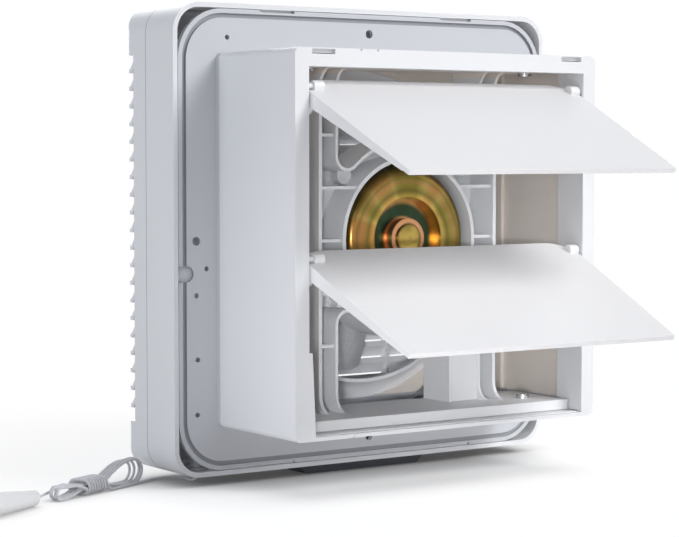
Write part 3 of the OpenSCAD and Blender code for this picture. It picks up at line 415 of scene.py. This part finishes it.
def stage_material():
    """Floor that shows as white with a soft shadow, and lights the object as plain pale paper.

    A painted contact shadow darkens its glow where the object all but touches it, and far away
    it fades into the backdrop.
    """
    material = bpy.data.materials.new("pale_floor_painted_contact_shadow")
    material.use_nodes = True
    tree = material.node_tree
    tree.nodes.clear()
    # Painted contact shadow: the glow dims where the object hems the floor in
    painted_contact_shadow = tree.nodes.new("ShaderNodeAmbientOcclusion")
    painted_contact_shadow.samples = PAINTED_SHADOW_SAMPLES
    painted_contact_shadow.inputs["Distance"].default_value = PAINTED_SHADOW_REACH
    lit = between(
        tree, painted_contact_shadow.outputs["AO"], PAINTED_SHADOW_SHUT, 1, PAINTED_SHADOW_GLOW, FLOOR_GLOW, "SMOOTHSTEP")
    glow = tree.nodes.new("ShaderNodeEmission")
    tree.links.new(lit, glow.inputs["Strength"])
    shown = tree.nodes.new("ShaderNodeAddShader")
    tree.links.new(glow.outputs["Emission"], shown.inputs[0])
    tree.links.new(matt(tree, FLOOR_SHADED), shown.inputs[1])
    away = vector_step(tree, "LENGTH", object_place(tree))
    fade = between(tree, away.outputs["Value"], FLOOR_NEAR, FLOOR_FAR, curve="SMOOTHSTEP")
    white = tree.nodes.new("ShaderNodeEmission")
    sweep = mix_shaders(tree, fade, shown.outputs["Shader"], white.outputs["Emission"])
    blend = mix_shaders(tree, background_rays(tree), matt(tree, FLOOR_BOUNCE), sweep)
    output = tree.nodes.new("ShaderNodeOutputMaterial")
    tree.links.new(blend, output.inputs["Surface"])
    return material


def floor_mesh():
    """One large square."""
    mesh = bpy.data.meshes.new("floor")
    corners = ((-1, -1), (1, -1), (1, 1), (-1, 1))
    mesh.from_pydata(
        [(FLOOR_HALF * x, FLOOR_HALF * y, FLOOR_LEVEL) for x, y in corners], [], [(0, 1, 2, 3)])
    return mesh


def aim_lamp(lamp, place, target):
    """Puts the lamp at place, turned to face target."""
    holder = bpy.data.objects.new(lamp.name, lamp)
    scene.collection.objects.link(holder)
    way = Vector(place) - Vector(target)
    turned = way.to_track_quat("Z", "Y").to_matrix().to_4x4()
    holder.matrix_world = Matrix.Translation(place) @ turned


def soft_box(name, place, target, size, watts, colour=(1, 1, 1)):
    """Square area lamp."""
    lamp = bpy.data.lights.new(name, "AREA")
    lamp.size = size
    lamp.energy = watts
    lamp.color = colour
    aim_lamp(lamp, place, target)


def snooted_spot(name, place, target, reach, radius, watts):
    """Narrow spot that only lights a disc of the given reach round its target."""
    lamp = bpy.data.lights.new(name, "SPOT")
    lamp.spot_size = 2 * math.atan(reach / (Vector(place) - Vector(target)).length)
    lamp.spot_blend = SPOT_BLEND
    lamp.shadow_soft_size = radius
    lamp.energy = watts
    aim_lamp(lamp, place, target)


floor = new_piece("floor", floor_mesh())
dress(floor, stage_material())
soft_box("key_box", place=(-0.85, 1.6, 1.18), target=(0, 0.05, 0), size=0.9, watts=29.5)
soft_box(
    "left_box", place=(1.9, -0.1, 0.6), target=(0, 0, 0), size=1.2, watts=9,
    colour=(0.88, 0.94, 1.0))
soft_box("room_box", place=(-0.5, -2.0, 0.7), target=(0, 0, 0), size=1.0, watts=20)
snooted_spot(
    "outlet_spot", place=(0.95, 1.25, 0.0), target=(-0.02, 0.04, -0.01), reach=0.125,
    radius=0.12, watts=24)
snooted_spot(
    "lower_spot", place=(0.95, 1.25, -0.03), target=(-0.015, 0.02, -0.072), reach=0.08,
    radius=0.08, watts=39)

scene.world = bpy.data.worlds.new("studio")
scene.world.use_nodes = True
sky = scene.world.node_tree
plain = sky.nodes["Background"]
plain.inputs["Color"].default_value = (*SKY_COLOUR, 1)
plain.inputs["Strength"].default_value = SKY_LEVEL
backdrop = sky.nodes.new("ShaderNodeBackground")
backdrop.inputs["Color"].default_value = (1, 1, 1, 1)
shown_sky = mix_shaders(
    sky, background_rays(sky), plain.outputs["Background"], backdrop.outputs["Background"])
sky.links.new(shown_sky, sky.nodes["World Output"].inputs["Surface"])
scene.view_settings.view_transform = "Standard"

# ---------------------------------------------------------------------------------------------
# Back plate and duct: one injection moulding in white ABS, with a fine satin skin. The plate is
# a shade greyer than the duct as painted shade, its groove is darker as a painted shadow, and
# the duct is warmer inside as painted warm light.
# ---------------------------------------------------------------------------------------------
SATIN_WHITE = (0.84, 0.85, 0.87)
# Painted shade: the plate is the same white moulding, coloured greyer for the shade it stands in
PLATE_PAINTED_SHADE = (0.63, 0.645, 0.68)
# Painted shadow: the groove is coloured dark for the shade that lies in it
GROOVE_PAINTED_SHADOW = (0.36, 0.37, 0.40)
# Painted warm light: the duct's inside is tinted warm and bright for the bounce light inside it
INSIDE_PAINTED_WARM_LIGHT = (0.92, 0.85, 0.79)
# Lowest and highest corner of each zone
PLATE_SHADE_ZONE = ((-125, -60, -125), (125, 3, 125))
GROOVE_SHADOW_ZONE = ((-125, -1.5, -125), (125, -0.5, 125))
DUCT_WARM_LIGHT_ZONE = ((-92.7, -20, -87), (92.7, 54, 92.7))
SATIN = 0.34
SATIN_SPREAD = 0.12
MOTTLE = 0.015
FLOW_SCALE = 14
FLOW_DETAIL = 3
GRAIN_SCALE = 900
GRAIN_BUMP = 0.05
PLASTIC_SPECULAR = 0.45


def moulded_surface_group():
    """Shader group for moulded plastic: faint flow mottling, satin variation and fine grain."""
    group = bpy.data.node_groups.new("moulded_surface", "ShaderNodeTree")
    face = group.interface
    face.new_socket("Colour", in_out="INPUT", socket_type="NodeSocketColor")
    for name in ("Mottle", "Grain", "Satin"):
        face.new_socket(name, in_out="INPUT", socket_type="NodeSocketFloat")
    face.new_socket("Colour", in_out="OUTPUT", socket_type="NodeSocketColor")
    for name in ("Roughness", "Height"):
        face.new_socket(name, in_out="OUTPUT", socket_type="NodeSocketFloat")
    given = group.nodes.new("NodeGroupInput").outputs
    result = group.nodes.new("NodeGroupOutput").inputs
    place = object_place(group)
    flow = noise(group, place, FLOW_SCALE, FLOW_DETAIL)
    # From 0 to 1 into -1 to 1, and from there into a factor round 1
    centred = calculate(group, "MULTIPLY_ADD", flow, 2, -1)
    amount = calculate(group, "MULTIPLY_ADD", centred, given["Mottle"], 1)
    shade = vector_step(group, "SCALE", given["Colour"])
    group.links.new(amount, shade.inputs["Scale"])
    grain = noise(group, place, given["Grain"])
    rough = calculate(group, "MULTIPLY_ADD", grain, SATIN_SPREAD, given["Satin"])
    group.links.new(shade.outputs["Vector"], result["Colour"])
    group.links.new(rough, result["Roughness"])
    group.links.new(grain, result["Height"])
    return group


MOULDED_SURFACE = moulded_surface_group()


def moulded_plastic(name, colour, satin=SATIN):
    """Injection-moulded plastic of one colour."""
    material, tree, shader = new_material(name)
    skin = tree.nodes.new("ShaderNodeGroup")
    skin.node_tree = MOULDED_SURFACE
    skin.inputs["Colour"].default_value = (*colour, 1)
    skin.inputs["Mottle"].default_value = MOTTLE
    skin.inputs["Grain"].default_value = GRAIN_SCALE
    skin.inputs["Satin"].default_value = satin
    tree.links.new(skin.outputs["Colour"], shader.inputs["Base Color"])
    tree.links.new(skin.outputs["Roughness"], shader.inputs["Roughness"])
    add_bump(tree, shader, skin.outputs["Height"], GRAIN_BUMP)
    shader.inputs["Specular IOR Level"].default_value = PLASTIC_SPECULAR
    return material


def socket(sockets, identifier):
    """Socket of that identifier, for nodes whose sockets share their names."""
    return next(s for s in sockets if s.identifier == identifier)


def box_zone_group():
    """Shader group that gives 1 inside a box of the object's own space, and 0 outside it."""
    group = bpy.data.node_groups.new("box_zone", "ShaderNodeTree")
    for name in ("Low", "High"):
        group.interface.new_socket(name, in_out="INPUT", socket_type="NodeSocketVector")
    group.interface.new_socket("Inside", in_out="OUTPUT", socket_type="NodeSocketFloat")
    given = group.nodes.new("NodeGroupInput").outputs
    result = group.nodes.new("NodeGroupOutput").inputs
    # Across the box, each axis runs from -1 to 1
    share = group.nodes.new("ShaderNodeMapRange")
    share.data_type = "FLOAT_VECTOR"
    share.clamp = False
    socket(share.inputs, "To_Min_FLOAT3").default_value = (-1, -1, -1)
    group.links.new(object_place(group), share.inputs["Vector"])
    group.links.new(given["Low"], socket(share.inputs, "From_Min_FLOAT3"))
    group.links.new(given["High"], socket(share.inputs, "From_Max_FLOAT3"))
    size = vector_step(group, "ABSOLUTE", share.outputs["Vector"])
    split = group.nodes.new("ShaderNodeSeparateXYZ")
    group.links.new(size.outputs["Vector"], split.inputs["Vector"])
    largest = split.outputs["X"]
    for axis in "YZ":
        largest = calculate(group, "MAXIMUM", largest, split.outputs[axis])
    group.links.new(calculate(group, "LESS_THAN", largest, 1), result["Inside"])
    return group


BOX_ZONE = box_zone_group()


def mix_colours(tree, share, first, second, blend="MIX"):
    """Colour between two others. Each of the three is an output socket or a plain value."""
    mix = tree.nodes.new("ShaderNodeMix")
    mix.data_type = "RGBA"
    mix.blend_type = blend
    feed(tree, share, socket(mix.inputs, "Factor_Float"))
    feed(tree, first, socket(mix.inputs, "A_Color"))
    feed(tree, second, socket(mix.inputs, "B_Color"))
    return socket(mix.outputs, "Result_Color")


def zoned_plastic(name, outer, *zones):
    """Moulded plastic of one colour, with other colours inside zones of (box, colour)."""
    material = moulded_plastic(name, outer)
    tree = material.node_tree
    skin = next(n for n in tree.nodes if n.type == "GROUP")
    shown = (*outer, 1)
    for (low, high), colour in zones:
        zone = tree.nodes.new("ShaderNodeGroup")
        zone.node_tree = BOX_ZONE
        zone.inputs["Low"].default_value = tuple(MM * v for v in low)
        zone.inputs["High"].default_value = tuple(MM * v for v in high)
        shown = mix_colours(tree, zone.outputs["Inside"], shown, (*colour, 1))
    tree.links.new(shown, skin.inputs["Colour"])
    return material


dress(node["rear_body"], zoned_plastic(
    "duct_and_plate_abs_painted_light", SATIN_WHITE, (PLATE_SHADE_ZONE, PLATE_PAINTED_SHADE), (GROOVE_SHADOW_ZONE, GROOVE_PAINTED_SHADOW),
    (DUCT_WARM_LIGHT_ZONE, INSIDE_PAINTED_WARM_LIGHT)))

# ---------------------------------------------------------------------------------------------
# Housing shell: a white ABS moulding round the back plate. The front cover snaps on against
# its rim, and the shadow in the joint between the two is painted on as a thin dark line.
# ---------------------------------------------------------------------------------------------
# Painted shadow of the joint between the shell and the front cover
SEAM_PAINTED_SHADOW = (0.34, 0.35, 0.37)
SEAM_SHADOW_ZONE = ((-125, -28.2, -125), (125, -27.5, 125))

dress(node["housing_shell"], zoned_plastic("shell_abs_painted_seam_shadow", SATIN_WHITE, (SEAM_SHADOW_ZONE, SEAM_PAINTED_SHADOW)))

# ---------------------------------------------------------------------------------------------
# Motor bracket: a ribbed white ABS moulding, screwed across the duct. Its upper edge carries
# the same painted warm light as the duct's ceiling.
# ---------------------------------------------------------------------------------------------
# Painted warm light on the bracket's upper edge, as on the duct's ceiling
BRACKET_TOP_WARM_LIGHT_ZONE = ((-95, -20, 84), (95, 70, 95))

dress(node["motor_bracket"], zoned_plastic(
    "bracket_abs_painted_warm_light", SATIN_WHITE, (BRACKET_TOP_WARM_LIGHT_ZONE, INSIDE_PAINTED_WARM_LIGHT)))

# ---------------------------------------------------------------------------------------------
# Front cover, outlet frame, lead cover, impeller nut and link bar: plain mouldings in the same
# satin white ABS as the duct. The front cover and the outlet frame snap on.
# ---------------------------------------------------------------------------------------------
satin_white = moulded_plastic("satin_white_abs", SATIN_WHITE)
for name in ("front_cover", "outlet_frame", "lead_cover", "impeller_nut", "link_bar"):
    dress(node[name], satin_white)

# ---------------------------------------------------------------------------------------------
# Air ring: the throat that the impeller turns in, a white moulding that is screwed to the back
# plate with four small screws. Its brighter white is painted light, against the lower flap's
# shade.
# ---------------------------------------------------------------------------------------------
# Painted light: brighter than the other white mouldings, to offset the lower flap's shade
RING_PAINTED_LIGHT_WHITE = (0.90, 0.91, 0.94)

dress(node["air_ring"], moulded_plastic("ring_abs_painted_light", RING_PAINTED_LIGHT_WHITE))

# ---------------------------------------------------------------------------------------------
# Flaps: two thin moulded plates with a smoother skin than the outlet frame. Each one hangs in
# that frame on a pin at either end of its upper edge.
# ---------------------------------------------------------------------------------------------
FLAP_WHITE = (0.875, 0.875, 0.885)
SMOOTH_SATIN = 0.3

flap_white = moulded_plastic("flap_white_abs", FLAP_WHITE, SMOOTH_SATIN)
for name in ("upper_flap", "lower_flap"):
    dress(node[name], flap_white)

# ---------------------------------------------------------------------------------------------
# Impeller, pull knob and oil cup: smooth mouldings in pale grey, white and grey. The cup hangs
# in guides under the housing and catches what runs off the blades. Its near-black colour is
# painted shade, for the shadow it sits in under the housing.
# ---------------------------------------------------------------------------------------------
IMPELLER_GREY = (0.74, 0.75, 0.78)
KNOB_WHITE = (0.83, 0.83, 0.84)
# Painted shade: the grey cup is coloured near black for the shadow under the housing
OIL_CUP_PAINTED_SHADE = (0.055, 0.06, 0.07)
OIL_CUP_SATIN = 0.35

dress(node["impeller"], moulded_plastic("impeller_grey", IMPELLER_GREY, SMOOTH_SATIN))
dress(node["pull_knob"], moulded_plastic("knob_white", KNOB_WHITE, SMOOTH_SATIN))
dress(node["oil_cup"], moulded_plastic("oil_cup_painted_shade", OIL_CUP_PAINTED_SHADE, OIL_CUP_SATIN))

# ---------------------------------------------------------------------------------------------
# Pull switch with its bar and eyelet, terminal block, capacitor and motor lead: bought parts in
# plain plastics. They sit in the housing, and only the eyelet passes through its wall. The
# lead's sleeve is duller than the mouldings.
# ---------------------------------------------------------------------------------------------
EYELET_GREY = (0.45, 0.46, 0.48)
SWITCH_GREY = (0.55, 0.56, 0.58)
BAR_IVORY = (0.80, 0.77, 0.70)
TERMINAL_IVORY = (0.78, 0.75, 0.66)
CAPACITOR_BLACK = (0.03, 0.03, 0.035)
LEAD_GREY = (0.30, 0.31, 0.33)
LEAD_SATIN = 0.5

dress(node["cord_eyelet"], moulded_plastic("eyelet_grey", EYELET_GREY))
dress(node["pull_switch"], moulded_plastic("switch_grey", SWITCH_GREY))
dress(node["pull_bar"], moulded_plastic("bar_ivory", BAR_IVORY))
dress(node["terminal_block"], moulded_plastic("terminal_ivory", TERMINAL_IVORY))
dress(node["run_capacitor"], moulded_plastic("capacitor_black", CAPACITOR_BLACK))
dress(node["motor_lead"], moulded_plastic("lead_sleeve", LEAD_GREY, LEAD_SATIN))

# ---------------------------------------------------------------------------------------------
# Blank plug in the back plate's cable notch: a small grey moulding, round towards the duct and
# straight towards the plate's edge. It is pushed in until it is a little below the plate's face.
# ---------------------------------------------------------------------------------------------
PLUG_MIDDLE = (112.6, -16.5)
PLUG_RADIUS = 3.95
PLUG_END = 117.0
PLUG_DEPTHS = (-2.3, -0.7)
PLUG_ROUNDING = 0.4
PLUG_ROUNDING_STEPS = 3
PLUG_ARC_STEPS = 24
PLUG_GREY = (0.62, 0.63, 0.66)


def notch_plug():
    """Plug with its edges rounded, made from half a circle and two straight sides."""
    middle_x, middle_z = PLUG_MIDDLE
    outline = [(PLUG_END, middle_z + PLUG_RADIUS)]
    for i in range(PLUG_ARC_STEPS + 1):
        angle = math.pi * (0.5 + i / PLUG_ARC_STEPS)
        outline.append((
            middle_x + PLUG_RADIUS * math.cos(angle), middle_z + PLUG_RADIUS * math.sin(angle)))
    outline.append((PLUG_END, middle_z - PLUG_RADIUS))
    body = bmesh.new()
    front, rear = [
        [body.verts.new((MM * x, MM * depth, MM * z)) for x, z in outline]
        for depth in PLUG_DEPTHS]
    body.faces.new(front)
    body.faces.new(list(reversed(rear)))
    for i in range(len(outline)):
        after = (i + 1) % len(outline)
        body.faces.new((front[after], front[i], rear[i], rear[after]))
    bmesh.ops.recalc_face_normals(body, faces=body.faces)
    bmesh.ops.bevel(
        body, geom=list(body.edges), offset=MM * PLUG_ROUNDING, segments=PLUG_ROUNDING_STEPS,
        affect="EDGES", clamp_overlap=True)
    mesh = bpy.data.meshes.new("notch_plug")
    body.to_mesh(mesh)
    body.free()
    mesh.shade_smooth()
    return new_piece("notch_plug", mesh)


plug = notch_plug()
dress(plug, moulded_plastic("plug_grey", PLUG_GREY))
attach(plug, "housing")

# ---------------------------------------------------------------------------------------------
# Motor shells: deep-drawn steel with a gold zinc passivate, which shifts to green and copper
# where its film is thicker. Its rings are partly that film and partly painted reflections and
# shade, and its lighter and darker sectors round the axis are painted reflections. Four screws
# hold the two shells and the core together.
# ---------------------------------------------------------------------------------------------
SHELL_RADIUS = 0.040
# Colours from the shell's middle to its rim, by their share of the way: the film's tints, with
# painted reflections and shade in the dark rings and at the rim
FILM_AND_PAINTED_REFLECTION_RINGS = [
    (0.0, (0.50, 0.36, 0.09)), (0.16, (0.48, 0.34, 0.08)), (0.19, (0.16, 0.10, 0.03)),
    (0.22, (0.62, 0.32, 0.17)), (0.27, (0.55, 0.27, 0.12)), (0.31, (0.03, 0.055, 0.03)),
    (0.44, (0.035, 0.06, 0.03)), (0.50, (0.50, 0.26, 0.09)), (0.57, (0.54, 0.38, 0.10)),
    (0.63, (0.22, 0.18, 0.05)), (0.69, (0.36, 0.28, 0.07)), (0.75, (0.44, 0.26, 0.10)),
    (0.80, (0.25, 0.20, 0.05)), (0.84, (0.42, 0.27, 0.08)), (0.91, (0.16, 0.12, 0.03)),
    (1.0, (0.05, 0.04, 0.015))]
RING_SHIFT = -0.04
RING_WANDER = 0.003
FILM_SCALE = 38
# Painted reflections round the axis: lighter and darker sectors, which fade in between two radii
PAINTED_REFLECTION_SECTORS = [
    (0.36, (0.60, 0.62, 0.45)), (0.50, (1.0, 1.0, 1.0)), (0.64, (0.92, 0.70, 0.66))]
REFLECTION_SECTOR_SCALE = 1.5
REFLECTION_SECTOR_START = 0.008
REFLECTION_SECTOR_FULL = 0.024
FILM_METALLIC = 0.9
FILM_ROUGHNESS = 0.17
FILM_ROUGHNESS_SPREAD = 0.14
DRAWN_SCALE = 1400
DRAWN_BUMP = 0.06


def passivated_steel():
    """Yellow passivate: rings of gold, copper and green, partly film and partly painted
    reflections and shade, with painted reflections in sectors round the axis.
    """
    material, tree, shader = new_material("gold_passivated_steel_painted_reflections")
    place = object_place(tree)
    split = tree.nodes.new("ShaderNodeSeparateXYZ")
    tree.links.new(place, split.inputs["Vector"])
    flat = tree.nodes.new("ShaderNodeCombineXYZ")
    for axis in "XZ":
        tree.links.new(split.outputs[axis], flat.inputs[axis])
    radius = vector_step(tree, "LENGTH", flat.outputs["Vector"]).outputs["Value"]
    film = noise(tree, place, FILM_SCALE)
    wandering = calculate(tree, "MULTIPLY_ADD", film, RING_WANDER, radius)
    share = calculate(tree, "MULTIPLY_ADD", wandering, 1 / SHELL_RADIUS, RING_SHIFT)
    rings = colour_ramp(tree, share, FILM_AND_PAINTED_REFLECTION_RINGS)
    way = vector_step(tree, "NORMALIZE", flat.outputs["Vector"]).outputs["Vector"]
    # Painted reflections: lighter and darker sectors round the axis
    painted_reflections = colour_ramp(tree, noise(tree, way, REFLECTION_SECTOR_SCALE, detail=1), PAINTED_REFLECTION_SECTORS)
    outer = between(tree, radius, REFLECTION_SECTOR_START, REFLECTION_SECTOR_FULL)
    colour = mix_colours(tree, outer, rings, painted_reflections, "MULTIPLY")
    tree.links.new(colour, shader.inputs["Base Color"])
    shader.inputs["Metallic"].default_value = FILM_METALLIC
    rough = calculate(tree, "MULTIPLY_ADD", film, FILM_ROUGHNESS_SPREAD, FILM_ROUGHNESS)
    tree.links.new(rough, shader.inputs["Roughness"])
    add_bump(tree, shader, noise(tree, place, DRAWN_SCALE), DRAWN_BUMP)
    return material


gold = passivated_steel()
for name in ("motor_rear_shell", "motor_front_shell"):
    dress(node[name], gold)

# ---------------------------------------------------------------------------------------------
# Screws, shaft and the motor's inside: zinc-plated screws, a ground shaft, a cast rotor, a core
# of steel sheets, enamelled copper windings and sintered bronze bearings.
# ---------------------------------------------------------------------------------------------
ZINC = (0.66, 0.67, 0.68)
CAST_ROTOR = (0.50, 0.51, 0.52)
CORE_STEEL = (0.30, 0.31, 0.33)
COPPER = (0.50, 0.22, 0.10)
BRONZE = (0.50, 0.36, 0.20)
WEAR_SCALE = 260
WEAR_SHADE = 0.82
WEAR_START = 0.3
WEAR_END = 0.7
WEAR_ROUGHNESS = 0.15


def bare_metal(name, colour, roughness):
    """Bright metal, a little darker and rougher where it is worn."""
    material, tree, shader = new_material(name)
    wear = noise(tree, object_place(tree), WEAR_SCALE)
    dark = tuple(WEAR_SHADE * c for c in colour)
    shown = colour_ramp(tree, wear, [(WEAR_START, dark), (WEAR_END, colour)])
    rough = calculate(tree, "MULTIPLY_ADD", wear, WEAR_ROUGHNESS, roughness)
    tree.links.new(shown, shader.inputs["Base Color"])
    tree.links.new(rough, shader.inputs["Roughness"])
    shader.inputs["Metallic"].default_value = 1
    return material


zinc = bare_metal("bright_zinc", ZINC, roughness=0.22)
for name in ("motor_screws", "bracket_screws", "ring_screws", "motor_shaft"):
    dress(node[name], zinc)
dress(node["rotor"], bare_metal("rotor_steel", CAST_ROTOR, roughness=0.35))
dress(node["stator_core"], bare_metal("core_laminations", CORE_STEEL, roughness=0.4))
dress(node["stator_windings"], bare_metal("enamelled_copper", COPPER, roughness=0.3))
dress(node["shaft_bearings"], bare_metal("sintered_bronze", BRONZE, roughness=0.4))
